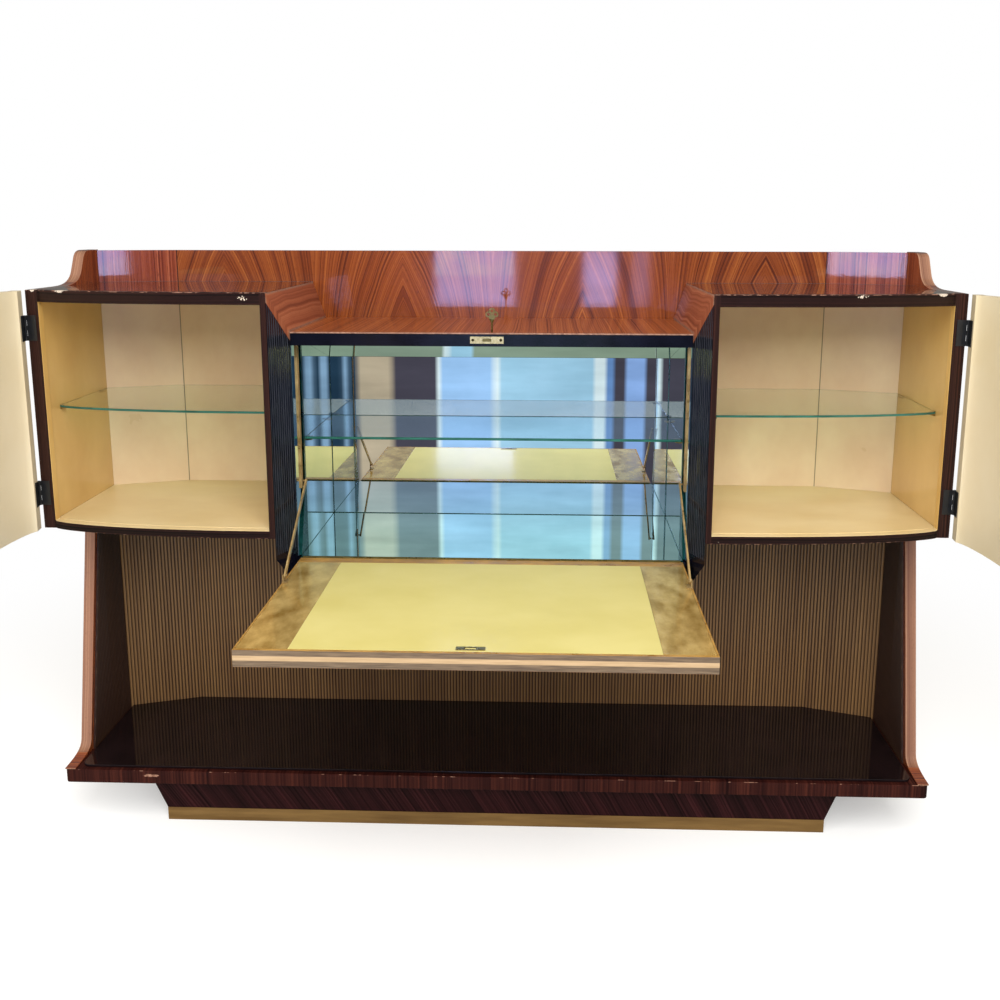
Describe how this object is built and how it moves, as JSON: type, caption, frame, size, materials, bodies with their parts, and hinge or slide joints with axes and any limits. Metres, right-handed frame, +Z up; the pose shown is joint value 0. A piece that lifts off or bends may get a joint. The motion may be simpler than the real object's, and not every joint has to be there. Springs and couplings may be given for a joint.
{
  "type": "bar sideboard",
  "caption": "Bow-fronted side cabinets with hinged doors flank a lower mirrored bar with a drop flap on stays, over a lined open niche, a glass-topped slab and a flared plinth.",
  "frame": {"origin": "on the floor, under the middle of the carcass's base slab", "axes": "+Z up, -Y towards the user's side (the doors and flap open that way), +X to the right as seen from the front"},
  "size_m": [2.086, 0.9318, 1.357],
  "materials": {
    "rosewood": "high-gloss polish",
    "dark_rosewood": "dark high-gloss polish",
    "blond_veneer": "satin lacquer",
    "reeded_walnut": "polished fine vertical reeds",
    "black_lacquer": "gloss black lacquer",
    "black_glass": "back-painted black glass",
    "brass": "aged brass",
    "black_iron": "blackened steel",
    "clear_glass": "clear float glass with polished edges",
    "mirror": "silvered glass",
    "gold_mirror": "antique gold-tinted mirror",
    "yellow_laminate": "gloss laminate"
  },
  "bodies": {
    "carcass": {"kick_strip": "brass", "plinth": "dark_rosewood", "base_slab": "dark_rosewood", "niche_glass_top": "black_glass", "side_board_left": "rosewood", "side_board_right": "rosewood", "niche_back": "dark_rosewood", "niche_lining": "reeded_walnut", "gallery_back": "rosewood", "cabinet_back_left": "blond_veneer", "cabinet_back_right": "blond_veneer", "cabinet_floor_left": "blond_veneer", "cabinet_floor_right": "blond_veneer", "cabinet_top_left": "rosewood", "cabinet_top_right": "rosewood", "cabinet_side_left": "blond_veneer", "cabinet_side_right": "blond_veneer", "face_frame_left": "dark_rosewood", "face_frame_right": "dark_rosewood", "cabinet_shelf_left": "clear_glass", "cabinet_shelf_right": "clear_glass", "slope_panel_left": "rosewood", "slope_panel_right": "rosewood", "bar_top": "rosewood", "lock_rail": "black_lacquer", "bar_cheek_left": "black_lacquer", "bar_cheek_right": "black_lacquer", "bar_floor": "black_lacquer", "bar_floor_mirror": "mirror", "bar_back_mirror": "mirror", "bar_side_mirror_left": "mirror", "bar_side_mirror_right": "mirror", "bar_ceiling_mirror": "mirror", "bar_shelf": "clear_glass", "stay_track_left": "brass", "stay_track_right": "brass", "lock_case": "brass", "flap_hinge_fixed": "brass", "frame_hinge_left_lower": "black_iron", "frame_hinge_left_upper": "black_iron", "frame_hinge_right_lower": "black_iron", "frame_hinge_right_upper": "black_iron"},
    "left_door": {"door_left": "blond_veneer", "door_hinge_left_lower": "black_iron", "door_hinge_left_upper": "black_iron"},
    "right_door": {"door_right": "blond_veneer", "door_hinge_right_lower": "black_iron", "door_hinge_right_upper": "black_iron"},
    "flap": {"flap_board": "dark_rosewood", "flap_panel": "yellow_laminate", "flap_mirror_left": "gold_mirror", "flap_mirror_right": "gold_mirror", "strike_plate": "brass", "flap_hinge_moving": "brass", "stay_bracket_left": "brass", "stay_bracket_right": "brass"},
    "left_stay": {"stay_arm_left": "brass"},
    "right_stay": {"stay_arm_right": "brass"},
    "key": {"key": "brass"},
    "bolt": {"lock_bolt": "brass"}
  },
  "joints": [
    {"name": "left_door_hinge", "type": "hinge", "parent": "carcass", "child": "left_door", "pos_m": [-1.0035, -0.192, 0.79], "axis": [0, 0, -1], "range_deg": [-80, 30]},
    {"name": "right_door_hinge", "type": "hinge", "parent": "carcass", "child": "right_door", "pos_m": [1.0035, -0.192, 0.79], "axis": [0, 0, 1], "range_deg": [-84, 26]},
    {"name": "flap_hinge", "type": "hinge", "parent": "carcass", "child": "flap", "pos_m": [0, -0.1868, 0.6865], "axis": [-1, 0, 0], "range_deg": [0, 90]},
    {"name": "left_stay_pivot", "type": "hinge", "parent": "flap", "child": "left_stay", "pos_m": [-0.41925, -0.3478, 0.7001], "axis": [1, 0, 0], "range_deg": [0, 140]},
    {"name": "right_stay_pivot", "type": "hinge", "parent": "flap", "child": "right_stay", "pos_m": [0.41925, -0.3478, 0.7001], "axis": [1, 0, 0], "range_deg": [0, 140]},
    {"name": "key_turn", "type": "hinge", "parent": "carcass", "child": "key", "pos_m": [0.003, -0.1723, 1.1905], "axis": [0, 0, 1], "range_deg": [0, 90]},
    {"name": "bolt_slide", "type": "slide", "parent": "carcass", "child": "bolt", "axis": [0, -1, 0], "range_m": [0, 0.0065]}
  ],
  "couplings": [
    {"joint": "left_stay_pivot", "follows": "flap_hinge", "ratio": 1.518},
    {"joint": "right_stay_pivot", "follows": "flap_hinge", "ratio": 1.518},
    {"joint": "bolt_slide", "follows": "key_turn", "m_per_rad": 0.0041}
  ]
}
